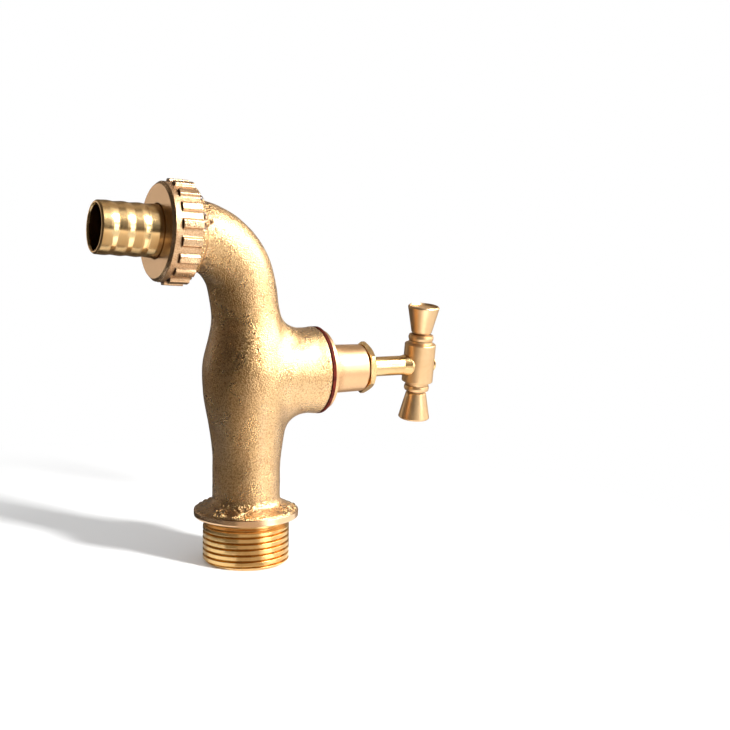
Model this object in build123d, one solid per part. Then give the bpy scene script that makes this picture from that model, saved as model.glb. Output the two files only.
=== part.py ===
from build123d import *
import math
import os

# A hose union bibcock in cast brass, standing on its inlet. Millimetres, +Z up.
# The inlet runs up the Z axis from the origin, at the centre of the inlet's end face.
# The screw-down valve lies along +X. The hose outlet points along -X and rises by its tilt.
# Threads are plain cylinders over their crests.

# Inlet spigot, with a G 3/4 thread, and its flange
thread_radius = 13.2205
thread_pitch = 1.814
inlet_thread_length = 12.4
relief_radius = 11.8
relief_length = 1.8
flange_radius = 16.0
flange_rim = 2.2
flange_slope = 1.3
flange_foot_radius = 12.4
flange_fillet = 2.6
inlet_chamfer = 0.45
thread_chamfer = 1.0

# Cast column: a round neck that swells round the valve and narrows again into the spout
neck_radius = 10.3
bulge_radius = 13.75
spout_radius = 10.2
bulge_above_valve = 0.36
bulge_below = 29.0
bulge_above = 20.0
swell_steps = 6
bend_steps = 5
inlet_bore_radius = 7.8
bulge_bore_radius = 11.0
spout_bore_radius = 7.4

# Boss that takes the bonnet
valve_height = 58.14
boss_radius = 13.2
boss_rim_radius = 13.45
boss_rim_length = 3.0
boss_face = 22.4
boss_fillet = 8.0
chamber_radius = 9.0

# Seat and the S-shaped wall that carries it
seat_face = 2.7
seat_lip_height = 0.7
seat_lip_radius = 6.9
seat_bore_radius = 5.2
wall_thickness = 2.6
seat_half_height = 8.8
upper_wall_rise = 12.06
lower_wall_drop = 11.94
wall_reach = 14.0

# Outlet spigot, with the same thread as the inlet
outlet_reach = 24.0
outlet_above_valve = 42.46
outlet_tilt = 3.75
lean_angle = 12.0
lean_radius = 110.0
bend_radius = 19.0
outlet_thread_length = 5.3
outlet_shoulder = 1.6

# Bonnet, screwed into the boss on a red fibre washer
bonnet_washer_radius = 13.6
bonnet_washer_thickness = 1.1
bonnet_thread_radius = 9.5
bonnet_thread_length = 9.0
bonnet_flange_radius = 12.5
bonnet_flange_thickness = 1.6
bonnet_hex_flats = 15.4
bonnet_hex_turn = 10.0
bonnet_length = 13.7
bonnet_dome_base = 9.3
bonnet_dome_end = 7.35
bonnet_dome_round = 1.3
neck_hole_length = 1.5
stuffing_radius = 5.3
stuffing_depth = 8.3

# Spindle and the jumper that it pushes on to the seat
spindle_radius = 3.12
spindle_thread_radius = 4.95
spindle_thread_length = 14.3
spindle_socket_depth = 8.0
spindle_socket_radius = 2.5
spindle_lead = 2.0
spindle_turns = 2.5
tenon_radius = 2.2
peen_radius = 2.5
peen_height = 0.55
jumper_radius = 7.3
jumper_plate = 2.0
jumper_cup_depth = 1.3
jumper_cup_wall = 0.6
jumper_stem_radius = 2.4
jumper_stem_length = 7.5
stud_radius = 1.5
valve_washer_thickness = 3.0
washer_nut_flats = 5.5
washer_nut_thickness = 2.0
stud_end = 0.5

# Gland: washer, packing and follower in the stuffing box, under a hexagon gland screw
packing_washer_thickness = 0.8
packing_length = 3.0
follower_length = 1.5
gland_hex_flats = 14.5
gland_head = 2.2
gland_head_gap = 0.1
gland_chamfer = 0.9

# Tee handle, turned from bar, a little off its middle and a little off upright when shut
handle_reach = 60.4
handle_half_length = 18.75
handle_offset = 0.7
handle_turn = 7.1
hub_radius = 5.05
hub_half_length = 6.3
neck_groove_radius = 3.75
neck_groove_length = 1.3
bead_radius = 4.1
bead_length = 1.6
end_groove_radius = 2.9
end_groove_length = 1.0
cone_root_radius = 3.3
cone_end_radius = 5.1
dish_depth = 0.6
dish_rim = 0.5

# Union nut, hose tail and the washer between the tail and the spigot
union_washer_radius = 11.6
union_washer_thickness = 1.6
collar_radius = 11.8
collar_thickness = 1.8
tail_radius = 7.8
tail_bore_radius = 6.6
tail_length = 23.5
barb_count = 4
barb_pitch = 4.7
barb_rise_length = 2.7
barb_depth = 0.22
tail_lip = 0.5
nut_radius = 14.6
nut_front_wall = 1.8
nut_length = 9.0
nut_chamfer = 0.9
nut_band = 2.9
rib_count = 18
rib_height = 0.9
rib_width = 3.0
rib_top_width = 1.9
first_rib_turn = 11.5

# Clearances
thread_gap = 0.05
running_gap = 0.05
seat_gap = 0.02
press_gap = 0.02

valve_line = Axis((0, 0, valve_height), (1, 0, 0))
valve_plane = Plane(origin=(0, 0, valve_height), x_dir=(1, 0, 0), z_dir=(0, -1, 0))
bulge_height = valve_height + bulge_above_valve
outlet_height = valve_height + outlet_above_valve
tilt = math.radians(outlet_tilt)
outward = (-math.cos(tilt), 0, math.sin(tilt))
outlet_seat = (-outlet_reach, 0, outlet_height)
outlet_line = Axis(outlet_seat, outward)
outlet_plane = Plane(origin=outlet_seat, x_dir=outward, z_dir=(0, 1, 0))

# The spout leans gently away from the column before it bends: two arcs, then a straight end
lean = math.radians(lean_angle)
lean_rise = lean_radius * math.sin(lean)
lean_shift = lean_radius * (1 - math.cos(lean))
bend_rise = bend_radius * (math.cos(tilt) - math.sin(lean))
bend_shift = bend_radius * (math.cos(lean) - math.sin(tilt))
bend_end_x = -lean_shift - bend_shift
bend_end_height = outlet_height - (bend_end_x + outlet_reach) * math.tan(tilt)
spring_height = bend_end_height - bend_rise - lean_rise
lean_top = spring_height + lean_rise
swell_bottom = bulge_height - bulge_below

# Stations along the valve axis, from the seat outwards
jumper_face = seat_face + seat_gap + valve_washer_thickness
jumper_back = jumper_face + jumper_plate
spindle_end = jumper_back + running_gap
washer_outer_face = boss_face + bonnet_washer_thickness
bonnet_inner_end = boss_face - bonnet_thread_length
flange_outer_face = washer_outer_face + bonnet_flange_thickness
bonnet_end = flange_outer_face + bonnet_length
stuffing_floor = bonnet_end - stuffing_depth
packing_start = stuffing_floor + packing_washer_thickness
follower_start = packing_start + packing_length
gland_start = follower_start + follower_length
gland_seat = bonnet_end + gland_head_gap


def turned(points, plane, line):
    """A solid of revolution, from its half outline as (distance along, radius) points."""
    return revolve(plane * make_face(Polyline(*points, close=True)), line)


def valve_part(*points):
    return turned(points, valve_plane, valve_line)


def outlet_part(*points):
    return turned(points, outlet_plane, outlet_line)


def ring(part_of, start, end, inner, outer):
    """A plain ring between two stations along its axis."""
    return part_of((start, inner), (end, inner), (end, outer), (start, outer))


def hexagon_bar(start, end, flats, turn):
    """A hexagonal bar along the valve axis; at no turn one corner points straight up."""
    face = RegularPolygon(flats / 2, 6, major_radius=False)
    place = Plane(origin=(start, 0, valve_height), x_dir=(0, 0, 1), z_dir=(1, 0, 0))
    return extrude(place * Rot(0, 0, turn) * face, amount=end - start)


def centre_plane(x, height, turn):
    """The plane square to the centre line, at a point where it has turned over that far."""
    return Plane(origin=(x, 0, height), x_dir=(math.cos(turn), 0, math.sin(turn)),
                 z_dir=(-math.sin(turn), 0, math.cos(turn)))


def column_plane(height):
    """Square to the column, which is upright below the spring and leans above it."""
    turn = math.asin(max(0, height - spring_height) / lean_radius)
    return centre_plane(-lean_radius * (1 - math.cos(turn)), height, turn)


def bend_plane(share):
    """Square to the bend, that share of the way round it."""
    turn = lean + (math.pi / 2 - tilt - lean) * share
    return centre_plane(-lean_shift - bend_radius * (math.cos(lean) - math.cos(turn)),
                        lean_top + bend_radius * (math.sin(turn) - math.sin(lean)), turn)


def tube(neck, bulge, spout, past_seat):
    """One smooth skin: the swelling round the valve, the leaning spout and its bend."""
    rings = [column_plane(swell_bottom) * Circle(neck)]
    for start, length, radius, end_radius in (
            (swell_bottom, bulge_below, neck, bulge),
            (bulge_height, bulge_above, bulge, spout)):
        for step in range(1, swell_steps + 1):
            share = step / swell_steps
            swell = (1 - math.cos(math.pi * share)) / 2
            rings.append(column_plane(start + length * share)
                         * Circle(radius + (end_radius - radius) * swell))
    rings += [bend_plane(step / bend_steps) * Circle(spout) for step in range(bend_steps + 1)]
    end = outlet_line.position + outlet_line.direction * past_seat
    rings.append(centre_plane(end.X, end.Z, math.pi / 2 - tilt) * Circle(spout))
    return loft(rings)


def inlet_end():
    """Threaded spigot, relief groove and flange, then its cast slope and the straight neck."""
    rim_bottom = inlet_thread_length + relief_length
    rim_top = rim_bottom + flange_rim
    slope_top = rim_top + flange_slope
    outline = Polyline(
        (0, 0), (thread_radius - inlet_chamfer, 0), (thread_radius, inlet_chamfer),
        (thread_radius, inlet_thread_length), (relief_radius, inlet_thread_length),
        (relief_radius, rim_bottom), (flange_radius, rim_bottom), (flange_radius, rim_top),
        (flange_foot_radius, slope_top))
    foot = TangentArc((neck_radius, slope_top + flange_fillet), (flange_foot_radius, slope_top),
                      tangent=(0, -1))
    closing = Polyline((neck_radius, slope_top + flange_fillet), (neck_radius, swell_bottom),
                       (0, swell_bottom), (0, 0))
    return revolve(Plane.XZ * make_face([outline, foot, closing]), Axis.Z)


def boss():
    """The valve's boss, with a slightly wider rim under the washer."""
    return valve_part(
        (0, 0), (0, boss_radius), (boss_face - boss_rim_length, boss_radius),
        (boss_face - boss_rim_length / 3, boss_rim_radius), (boss_face, boss_rim_radius),
        (boss_face, 0))


def outlet_spigot():
    """The threaded outlet spigot and its cast shoulder behind the nut."""
    back = -outlet_thread_length
    return outlet_part(
        (0, 0), (0, thread_radius - thread_chamfer), (-thread_chamfer, thread_radius),
        (back, thread_radius), (back - outlet_shoulder, spout_radius - thread_gap),
        (back - outlet_shoulder, 0))


def cast_outside():
    """Column, spout and boss blended into each other, with the two threaded ends."""
    skin = tube(neck_radius, bulge_radius, spout_radius, -thread_chamfer)
    joined = skin + outlet_spigot() + boss()
    crossing = []
    for edge in joined.edges():
        middle = edge.position_at(0.5)
        from_axis = math.hypot(middle.Y, middle.Z - valve_height)
        if (edge.geom_type != GeomType.LINE and abs(from_axis - boss_radius) < 0.02
                and 1 < middle.X < boss_face - boss_rim_length - 1):
            crossing.append(edge)
    return fillet(crossing, boss_fillet) + inlet_end()


def seat_wall():
    """The S-shaped wall: from the back of the column, down past the seat, to under the valve."""
    front = seat_face - seat_lip_height
    back = front - wall_thickness
    top, bottom = valve_height + seat_half_height, valve_height - seat_half_height
    drop = wall_thickness * 0.7
    outer, inner = valve_height + upper_wall_rise, valve_height - lower_wall_drop
    outline = Polyline(
        (-wall_reach, outer + wall_thickness), (front, top), (front, bottom), (wall_reach, inner),
        (wall_reach, inner - wall_thickness), (back, bottom - drop), (back, top - drop),
        (-wall_reach, outer), close=True)
    plate = extrude(Plane.XZ * make_face(outline), amount=wall_reach, both=True)
    skin = 1.0
    return plate & tube(neck_radius - skin, bulge_radius - skin, spout_radius - skin,
                        -thread_chamfer)


def body_casting():
    """The cast body: outside, waterway, valve chamber, seat wall and seat."""
    waterway = tube(inlet_bore_radius, bulge_bore_radius, spout_bore_radius, thread_pitch)
    inlet_bore = revolve(Plane.XZ * make_face(Polyline(
        (0, 0), (inlet_bore_radius + thread_chamfer, 0), (inlet_bore_radius, thread_chamfer),
        (inlet_bore_radius, swell_bottom), (0, swell_bottom), close=True)), Axis.Z)
    front = seat_face - seat_lip_height
    chamber = valve_part((front, 0), (front, chamber_radius), (boss_face, chamber_radius),
                         (boss_face, 0))
    thread_bore = valve_part(
        (bonnet_inner_end - running_gap, 0),
        (bonnet_inner_end - running_gap, bonnet_thread_radius + thread_gap),
        (boss_face, bonnet_thread_radius + thread_gap), (boss_face, 0))
    body = cast_outside() - waterway - inlet_bore
    body = body + (seat_wall() - chamber) - chamber - thread_bore
    body = body + ring(valve_part, front - wall_thickness / 2, seat_face,
                       seat_bore_radius, seat_lip_radius)
    back = front - wall_thickness - seat_lip_height
    return body - valve_part((back, 0), (back, seat_bore_radius), (seat_face, seat_bore_radius),
                             (seat_face, 0))


def bonnet_washer():
    return ring(valve_part, boss_face, washer_outer_face,
                bonnet_thread_radius + thread_gap, bonnet_washer_radius)


def bonnet():
    """Thread, flange and a hexagon whose outer end is turned down to a dome."""
    outside = hexagon_bar(washer_outer_face, bonnet_end, bonnet_hex_flats, bonnet_hex_turn)
    dome_start = (flange_outer_face, bonnet_dome_base)
    dome_end = (bonnet_end - bonnet_dome_round, bonnet_dome_end)
    tip = (bonnet_end, bonnet_dome_end - bonnet_dome_round)
    sag = ((dome_start[0] + dome_end[0]) / 2, (dome_start[1] + dome_end[1]) / 2 + 0.1)
    dome = make_face([
        Polyline(tip, (bonnet_end, 0), (washer_outer_face, 0),
                 (washer_outer_face, bonnet_dome_base), dome_start),
        ThreePointArc(dome_start, sag, dome_end),
        Line(dome_end, tip)])
    outside = outside & revolve(valve_plane * dome, valve_line)
    outside += ring(valve_part, bonnet_inner_end, washer_outer_face, 0, bonnet_thread_radius)
    outside += valve_part((washer_outer_face, 0), (washer_outer_face, bonnet_flange_radius),
                          (flange_outer_face, bonnet_flange_radius),
                          (flange_outer_face, bonnet_dome_base + 1),
                          (flange_outer_face + 1, bonnet_dome_base - 0.6),
                          (flange_outer_face + 1, 0))
    travel = spindle_lead * spindle_turns
    thread_end = spindle_end + spindle_thread_length + travel + neck_hole_length / 2
    inside = valve_part(
        (bonnet_inner_end, 0), (bonnet_inner_end, spindle_thread_radius + thread_gap),
        (thread_end, spindle_thread_radius + thread_gap),
        (thread_end, spindle_radius + running_gap),
        (stuffing_floor, spindle_radius + running_gap), (stuffing_floor, stuffing_radius),
        (bonnet_end, stuffing_radius), (bonnet_end, 0))
    return outside - inside


def packing_washer():
    return ring(valve_part, stuffing_floor, packing_start,
                spindle_radius + running_gap, stuffing_radius - thread_gap)


def gland_packing():
    return ring(valve_part, packing_start, follower_start,
                spindle_radius + running_gap / 2, stuffing_radius - press_gap)


def gland_follower():
    return ring(valve_part, follower_start, gland_start,
                spindle_radius + running_gap, stuffing_radius - thread_gap)


def gland_screw():
    """A thin chamfered hexagon on a threaded shank that presses on the follower."""
    end = gland_seat + gland_head
    corner = gland_hex_flats / math.sqrt(3)
    head = hexagon_bar(gland_seat, end, gland_hex_flats, 0)
    rise = gland_chamfer * math.tan(math.radians(35))
    head = head & valve_part(
        (gland_seat, 0), (gland_seat, corner - gland_chamfer / 3),
        (gland_seat + rise / 3, corner), (end - 1.6 * rise, corner),
        (end, corner - 1.6 * gland_chamfer), (end, 0))
    shank = ring(valve_part, gland_start, gland_seat, 0, stuffing_radius - thread_gap)
    hole = ring(valve_part, gland_start, end, 0, spindle_radius + running_gap)
    return head + shank - hole


def spindle():
    """Threaded inner end with the jumper's socket, plain stem, and a tenon peened over the hub."""
    shoulder = spindle_end + spindle_thread_length
    stem_end = handle_reach - spindle_radius / 3
    far_side = handle_reach + hub_radius
    body = valve_part(
        (spindle_end, 0), (spindle_end, spindle_thread_radius - 0.6),
        (spindle_end + 0.6, spindle_thread_radius), (shoulder - 0.8, spindle_thread_radius),
        (shoulder, spindle_radius), (stem_end, spindle_radius), (stem_end, tenon_radius),
        (far_side - 0.8, tenon_radius), (far_side, peen_radius),
        (far_side + peen_height / 2, 0.8 * peen_radius), (far_side + peen_height, 0))
    socket = valve_part(
        (spindle_end, 0), (spindle_end, spindle_socket_radius),
        (spindle_end + spindle_socket_depth, spindle_socket_radius),
        (spindle_end + spindle_socket_depth + 1, 0))
    return body - socket


def tee_handle():
    """The turned bar, with its hub cross-drilled and countersunk for the spindle."""
    at_neck = hub_half_length
    at_bead = at_neck + neck_groove_length
    at_groove = at_bead + bead_length
    at_cone = at_groove + end_groove_length
    end = handle_half_length
    half = [(0, 0), (0, hub_radius), (at_neck - 0.3, hub_radius), (at_neck, hub_radius - 0.3),
            (at_neck + 0.5, neck_groove_radius), (at_bead, neck_groove_radius),
            (at_bead, bead_radius - 0.2), (at_bead + bead_length / 2, bead_radius),
            (at_groove, bead_radius - 0.2), (at_groove + end_groove_length / 2, end_groove_radius),
            (at_cone, cone_root_radius), (end - 0.4, cone_end_radius), (end, cone_end_radius - 0.3),
            (end, cone_end_radius - dish_rim), (end - dish_depth, cone_end_radius - 2 * dish_rim),
            (end - dish_depth, 0)]
    half_bar = revolve(Plane.XZ * make_face(Polyline(*half, close=True)), Axis.X)
    bar = half_bar + mirror(half_bar, Plane.YZ)
    upright = Rot(handle_turn, 0, 0) * Pos(0, 0, handle_offset) * Rot(0, -90, 0)
    bar = Pos(handle_reach, 0, valve_height) * upright * bar
    stem_end = handle_reach - spindle_radius / 3
    far_side = handle_reach + hub_radius
    hole = valve_part(
        (handle_reach - hub_radius - 1, 0),
        (handle_reach - hub_radius - 1, spindle_radius + press_gap),
        (stem_end, spindle_radius + press_gap), (stem_end, tenon_radius + press_gap),
        (far_side - 0.8, tenon_radius + press_gap), (far_side, peen_radius + press_gap),
        (far_side + 1, peen_radius + press_gap), (far_side + 1, 0))
    return bar - hole


def jumper():
    """A plate with a shallow cup for the washer, a stem for the socket and a stud for the nut."""
    cup = jumper_radius - jumper_cup_wall
    stud_tip = seat_face + seat_gap - washer_nut_thickness - stud_end
    return valve_part(
        (stud_tip, 0), (stud_tip, stud_radius), (jumper_face, stud_radius), (jumper_face, cup),
        (jumper_face - jumper_cup_depth, cup), (jumper_face - jumper_cup_depth, jumper_radius),
        (jumper_back - 0.5, jumper_radius), (jumper_back, jumper_radius - 0.5),
        (jumper_back, jumper_stem_radius), (jumper_back + jumper_stem_length, jumper_stem_radius),
        (jumper_back + jumper_stem_length, 0))


def valve_washer():
    return ring(valve_part, seat_face + seat_gap, jumper_face,
                stud_radius + press_gap, jumper_radius - jumper_cup_wall - press_gap)


def washer_nut():
    start = seat_face + seat_gap - washer_nut_thickness
    nut = hexagon_bar(start, seat_face + seat_gap, washer_nut_flats, 0)
    return nut - ring(valve_part, start, seat_face + seat_gap, 0, stud_radius + press_gap)


def union_washer():
    return ring(outlet_part, seat_gap, union_washer_thickness,
                spout_bore_radius, union_washer_radius)


def hose_tail():
    """A collar that the nut pulls in, and a tube whose shallow barbs rise towards the nut."""
    collar_start = union_washer_thickness + seat_gap
    collar_end = collar_start + collar_thickness
    crest, root = tail_radius, tail_radius - barb_depth
    outline = [(collar_start, tail_bore_radius), (collar_start, collar_radius),
               (collar_end, collar_radius), (collar_end, crest)]
    for barb in reversed(range(barb_count)):
        mouth_side = tail_length - barb * barb_pitch
        crest_at = mouth_side - barb_rise_length
        outline += [(crest_at - barb_pitch + barb_rise_length + 0.6, crest) if barb else None,
                    (crest_at, crest), (mouth_side, root)]
    outline = [point for point in outline if point]
    outline[-1] = (tail_length - tail_lip, crest - barb_depth / 2)
    outline += [(tail_length, crest - tail_lip), (tail_length, tail_bore_radius + tail_lip / 2),
                (tail_length - tail_lip, tail_bore_radius)]
    return outlet_part(*outline)


def union_nut():
    """A ribbed sleeve, open towards the body, with a plain band and a wall that holds the collar."""
    wall_inside = union_washer_thickness + seat_gap + collar_thickness + running_gap
    front = wall_inside + nut_front_wall
    back = front - nut_length
    sleeve = outlet_part(
        (back, 0), (back, nut_radius), (front - nut_chamfer, nut_radius),
        (front, nut_radius - nut_chamfer), (front, 0))
    root = nut_radius - rib_height
    rib = make_face(Polyline(
        (-rib_width / 2, root), (rib_width / 2, root), (rib_width / 2, nut_radius),
        (rib_top_width / 2, nut_radius + rib_height), (-rib_top_width / 2, nut_radius + rib_height),
        (-rib_width / 2, nut_radius), close=True))
    place = Plane(origin=outlet_line.position + outlet_line.direction * back,
                  x_dir=(0, 1, 0), z_dir=outward)
    for step in range(rib_count):
        turn = Rot(0, 0, first_rib_turn + 360 / rib_count * step)
        sleeve += extrude(place * turn * rib, amount=front - nut_band - back)
    hollow = outlet_part(
        (back, 0), (back, thread_radius + thread_gap + thread_chamfer / 2),
        (back + thread_chamfer / 2, thread_radius + thread_gap),
        (wall_inside, thread_radius + thread_gap), (wall_inside, 0))
    return sleeve - hollow - ring(outlet_part, back, front, 0, tail_radius + 6 * running_gap)


pieces = {
    "body_casting": body_casting,
    "bonnet_washer": bonnet_washer,
    "bonnet": bonnet,
    "packing_washer": packing_washer,
    "gland_packing": gland_packing,
    "gland_follower": gland_follower,
    "gland_screw": gland_screw,
    "spindle": spindle,
    "tee_handle": tee_handle,
    "jumper": jumper,
    "valve_washer": valve_washer,
    "washer_nut": washer_nut,
    "union_washer": union_washer,
    "union_nut": union_nut,
    "hose_tail": hose_tail,
}

os.makedirs("parts", exist_ok=True)
for name, make in pieces.items():
    solid = make()
    export_step(solid, f"parts/{name}.step")
    print(f"{name:16s} solids {len(solid.solids())}  volume {solid.volume:9.1f} mm3")
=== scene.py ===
# %% [markdown]
# # A cast brass bibcock with a hose union
#
# The CAD part comes in as a fixed frame: bodies that move, and solids that sit on them.
# Here each solid that shows gets its finish, and most get a finer mesh over them.
# Nothing is fitted by eye, because every mesh is made in the frame's own place.

# %% Load the frame, with each solid's placement put into its mesh
import math

import bmesh
import bpy
import numpy as np
from mathutils import Matrix, Vector


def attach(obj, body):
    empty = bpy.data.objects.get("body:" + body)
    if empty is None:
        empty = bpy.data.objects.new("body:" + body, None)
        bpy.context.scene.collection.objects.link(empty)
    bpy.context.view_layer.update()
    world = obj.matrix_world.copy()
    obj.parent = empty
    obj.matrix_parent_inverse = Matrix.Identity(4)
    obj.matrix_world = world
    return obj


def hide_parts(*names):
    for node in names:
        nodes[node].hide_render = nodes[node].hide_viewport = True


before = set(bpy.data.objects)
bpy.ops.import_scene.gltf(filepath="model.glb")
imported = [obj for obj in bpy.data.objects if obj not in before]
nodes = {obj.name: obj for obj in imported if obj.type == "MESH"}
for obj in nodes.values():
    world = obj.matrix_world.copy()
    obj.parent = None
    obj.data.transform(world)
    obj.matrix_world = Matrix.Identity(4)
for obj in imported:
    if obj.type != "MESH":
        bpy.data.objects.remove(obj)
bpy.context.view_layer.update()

# %% [markdown]
# ## The camera
#
# A photograph fixes its camera: the ovals of the round ends say how it was turned, and the known
# width of the pipe thread says how far away it stood. The camera is built from three angles and
# from the place in the picture where the middle of the inlet's end face shows. It could be
# dragged into place by eye, but then nobody could say how far off it is.

# %% Put the camera where the photograph was taken
MM = 0.001
PICTURE = 730
FOCAL_PIXELS = 1317.02
YAW, PITCH, ROLL = (math.radians(a) for a in (28.879, 7.691, 1.254))
INLET_PIXEL = (245.655, 559.710)
INLET_DEPTH = 406.696
SENSOR = 36


def placed(name, data):
    """A new object with that data, linked into the scene."""
    made = bpy.data.objects.new(name, data)
    bpy.context.scene.collection.objects.link(made)
    return made


def camera_axes():
    """Right, up and forward: a level camera turned by the yaw, tipped down by the pitch, and then
    rolled about its own line of sight."""
    forward = Vector((math.sin(YAW) * math.cos(PITCH), math.cos(YAW) * math.cos(PITCH),
                      -math.sin(PITCH)))
    level = Vector((math.cos(YAW), -math.sin(YAW), 0))
    above = level.cross(forward)
    right = level * math.cos(ROLL) + above * math.sin(ROLL)
    up = above * math.cos(ROLL) - level * math.sin(ROLL)
    return right, up, forward


right, up, forward = camera_axes()
per_pixel = INLET_DEPTH / FOCAL_PIXELS
inlet_seen = (right * (INLET_PIXEL[0] - PICTURE / 2) * per_pixel
              - up * (INLET_PIXEL[1] - PICTURE / 2) * per_pixel + forward * INLET_DEPTH)
camera = placed("camera", bpy.data.cameras.new("camera"))
bpy.context.scene.camera = camera
camera.data.sensor_fit = "HORIZONTAL"
camera.data.sensor_width = SENSOR
camera.data.lens = SENSOR * FOCAL_PIXELS / PICTURE
camera.data.clip_start = 0.01
camera.data.clip_end = 20
# The inlet's middle is the frame's origin, so the camera stands at minus what it sees there
camera.matrix_world = Matrix([(right[i], up[i], -forward[i], -inlet_seen[i] * MM)
                              for i in range(3)] + [(0, 0, 0, 1)])
print("camera at", [round(1000 * v) for v in camera.matrix_world.translation], "mm, lens",
      round(camera.data.lens, 2))

# %% [markdown]
# ## Floor, background and light
#
# Bare metal has hardly any colour of its own: it shows what stands round it. So the set matters
# as much as the finish. The floor is flat and pale, and turns into plain white further off. One
# low lamp lights what is matte, so it alone throws the soft shadow to the left. The other lamps
# are only what the metal mirrors. So are the dark cards, some standing round the tap and some
# flat on the floor, which give the brass its brown left sides. A painted-on shade would do that
# for one view only, and cards do it for all of them.

# %% Helpers that build a node material
def material(name):
    """A new node material, and its empty node tree with only the output in it."""
    made = bpy.data.materials.new(name)
    made.use_nodes = True
    tree = made.node_tree
    tree.nodes.clear()
    tree.nodes.new("ShaderNodeOutputMaterial").name = "out"
    return made, tree


def put(tree, value, socket):
    """Joins a value that is a socket itself to the socket, and sets any other value on it."""
    if isinstance(value, bpy.types.NodeSocket):
        tree.links.new(value, socket)
    else:
        socket.default_value = value


def add(tree, kind, *inputs, **named):
    """A node of that kind. Plain values go to its inputs in their order, and named ones to the
    input or the setting of that name."""
    node = tree.nodes.new("ShaderNode" + kind)
    for key, value in named.items():
        socket = node.inputs.get(key.replace("_", " "))
        if socket is None:
            setattr(node, key, value)
        else:
            put(tree, value, socket)
    for value, socket in zip(inputs, node.inputs):
        put(tree, value, socket)
    return node


def combine(tree, operation, first, second):
    """One Math node on two sockets or numbers."""
    return add(tree, "Math", first, second, operation=operation).outputs[0]


def show(tree, shader):
    """Joins the shader to the material's output."""
    put(tree, shader.outputs[0], tree.nodes["out"].inputs[0])


# %% White where the camera, metal or glass looks, plain light elsewhere
WORLD_FILL = 0.64
WHITE = (1, 1, 1, 1)


def seen_directly(tree):
    """1 for camera, glossy and transmission rays, 0 for the rays that carry plain light."""
    path = add(tree, "LightPath").outputs
    mirrored = combine(tree, "MAXIMUM", path["Is Camera Ray"], path["Is Glossy Ray"])
    return combine(tree, "MAXIMUM", mirrored, path["Is Transmission Ray"])


world = bpy.data.worlds.new("studio")
world.use_nodes = True
bpy.context.scene.world = world
sky = world.node_tree
sky.nodes.clear()
seen = add(sky, "Background", Color=WHITE, Strength=1.0)
fill = add(sky, "Background", Color=WHITE, Strength=WORLD_FILL)
choose = add(sky, "MixShader", seen_directly(sky), fill.outputs[0], seen.outputs[0])
put(sky, choose.outputs[0], sky.nodes.new("ShaderNodeOutputWorld").inputs[0])
bpy.context.scene.view_settings.view_transform = "Standard"
print("world: white where it is seen, and a fill of", WORLD_FILL)

# %% The floor: it keeps the shadow near the tap and turns into plain white further off
FLOOR_REACH = 4.0
FLOOR_PAINT = (0.93, 0.928, 0.925, 1)
WHITE_FROM, WHITE_TO, WHITE_SHIFT = 0.07, 0.20, (0.03, 0, 0)


def floor_material():
    """Pale matte paint. Its share of plain white grows with the distance from the tap, measured
    from a point a little to the left of it, where the shadow lies."""
    made, tree = material("pale_floor")
    place = add(tree, "TexCoord").outputs["Object"]
    shifted = add(tree, "Mapping", place, Location=WHITE_SHIFT)
    far = add(tree, "VectorMath", shifted.outputs[0], operation="LENGTH")
    ramp = add(tree, "MapRange", far.outputs["Value"], From_Min=WHITE_FROM, From_Max=WHITE_TO,
               interpolation_type="SMOOTHSTEP")
    direct = combine(tree, "MULTIPLY", ramp.outputs[0], seen_directly(tree))
    paint = add(tree, "BsdfDiffuse", Color=FLOOR_PAINT)
    white = add(tree, "Emission", Color=WHITE, Strength=1.0)
    show(tree, add(tree, "MixShader", direct, paint.outputs[0], white.outputs[0]))
    return made


def sheet_through(name, points, made):
    """One face between each four neighbours of a grid of points, in a new piece with that
    material.
    """
    number = np.arange(points.shape[0] * points.shape[1]).reshape(points.shape[:2])
    faces = np.stack([number[:-1, :-1], number[:-1, 1:], number[1:, 1:], number[1:, :-1]], -1)
    data = bpy.data.meshes.new(name)
    data.from_pydata(points.reshape(-1, 3).tolist(), [], faces.reshape(-1, 4).tolist())
    data.materials.append(made)
    sheet = placed(name, data)
    return sheet


corners = np.array([[(-1, -1, 0), (1, -1, 0)], [(-1, 1, 0), (1, 1, 0)]])
sheet_through("floor", FLOOR_REACH * corners, floor_material())
print("floor:", 2 * FLOOR_REACH, "m square")

# %% Lamps, each given by its angle from the camera, its height and its size
AIM = Vector((0, 0, 0.06))


def direction(turn, rise):
    """Unit vectors that lie so many degrees to the right of the camera and above the level."""
    heading = math.atan2(-forward.y, -forward.x) + np.radians(turn)
    rise = np.radians(rise)
    return np.stack(np.broadcast_arrays(np.cos(heading) * np.cos(rise),
                                        np.sin(heading) * np.cos(rise), np.sin(rise)), -1)


def lamp(name, turn, rise, distance, width, height, watts, on_floor=False):
    """A soft rectangle of light that faces the tap, from a direction turned to the right of the
    camera and raised (degrees). The one with on_floor lights what is matte, so it throws the
    only shadow. The others are what the metal mirrors."""
    light = bpy.data.lights.new(name, "AREA")
    light.shape = "RECTANGLE"
    light.size, light.size_y, light.energy = width, height, watts
    stand = placed(name, light)
    stand.location = AIM + distance * Vector(direction(turn, rise))
    stand.rotation_euler = (AIM - stand.location).to_track_quat("-Z", "Y").to_euler()
    stand.visible_diffuse = on_floor
    stand.visible_glossy = not on_floor


lamp("shadow_light", 58, 14, 1.0, 0.11, 0.09, 26.0, on_floor=True)
lamp("key_light", 74, 40, 1.0, 0.36, 0.42, 11.0)
lamp("side_light", 108, 26, 1.0, 0.40, 0.60, 4.5)
lamp("soft_panel", 90, 34, 1.05, 1.0, 0.95, 2.2)
lamp("low_strip", 64, 5, 0.7, 0.10, 0.30, 0.6)

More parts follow.
